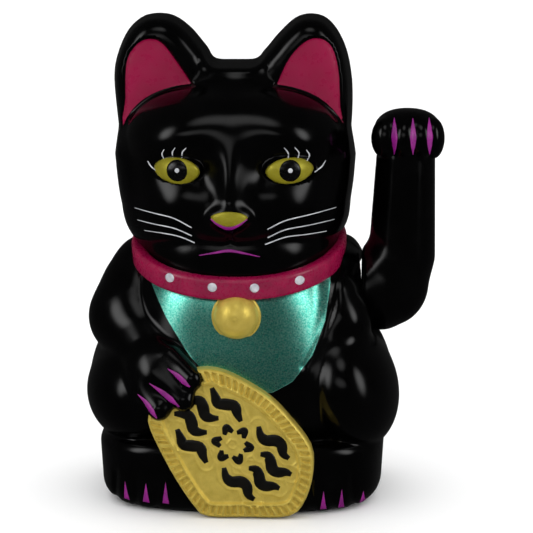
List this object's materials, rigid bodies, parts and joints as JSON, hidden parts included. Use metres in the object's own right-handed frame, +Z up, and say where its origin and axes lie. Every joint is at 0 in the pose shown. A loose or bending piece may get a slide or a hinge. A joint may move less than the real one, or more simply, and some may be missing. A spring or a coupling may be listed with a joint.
{
  "type": "beckoning cat figurine",
  "caption": "Glossy black seated beckoning cat with a pendulum-driven waving arm, magenta collar, teal bib and gold coin.",
  "frame": {"origin": "middle of the flat base, on the surface the cat stands on", "axes": "+Z up, the cat faces -Y, its raised waving arm is on the +X side"},
  "size_m": [0.1336, 0.0956, 0.18],
  "materials": {
    "black_gloss": "high gloss moulded, with magenta, gold, teal, violet and white paint",
    "black_plastic": "satin moulded",
    "white_nylon": "satin moulded",
    "steel": "bright zinc plated",
    "magnet_nickel": "nickel plated",
    "copper_wire": "enamelled winding wire",
    "circuit_green": "solder mask",
    "component_black": "moulded epoxy",
    "resistor_tan": "lacquered",
    "cell_sleeve": "printed sleeve",
    "lead_red": "soft insulation",
    "lead_black": "soft insulation"
  },
  "bodies": {
    "body": {"front_shell": "black_gloss", "back_shell": "black_gloss", "base_plate": "black_plastic", "base_screws": "steel", "pivot_bracket": "white_nylon", "bracket_screws": "steel", "axle_bush_left": "white_nylon", "axle_bush_right": "white_nylon", "circuit_board": "circuit_green", "coil_bobbin": "white_nylon", "drive_coil": "copper_wire", "transistor": "component_black", "capacitor": "component_black", "resistors": "resistor_tan", "battery_cell": "cell_sleeve", "battery_contact_plus": "steel", "battery_contact_minus": "steel", "battery_spring": "steel", "lead_red": "lead_red", "lead_black": "lead_black"},
    "waving_arm": {"arm_front_half": "black_gloss", "arm_rear_half": "black_gloss", "arm_hub": "white_nylon", "axle_pin": "steel", "axle_collars": "steel", "pendulum_lever": "white_nylon", "counterweight": "steel", "pendulum_magnet": "magnet_nickel"},
    "door": {"battery_door": "black_plastic"}
  },
  "joints": [
    {"name": "arm_swing", "type": "hinge", "parent": "body", "child": "waving_arm", "pos_m": [0, 0, 0.0745], "axis": [1, 0, 0], "range_deg": [-25, 30]},
    {"name": "door_slide", "type": "slide", "parent": "body", "child": "door", "axis": [0, 1, 0], "range_m": [0, 0.018]}
  ]
}
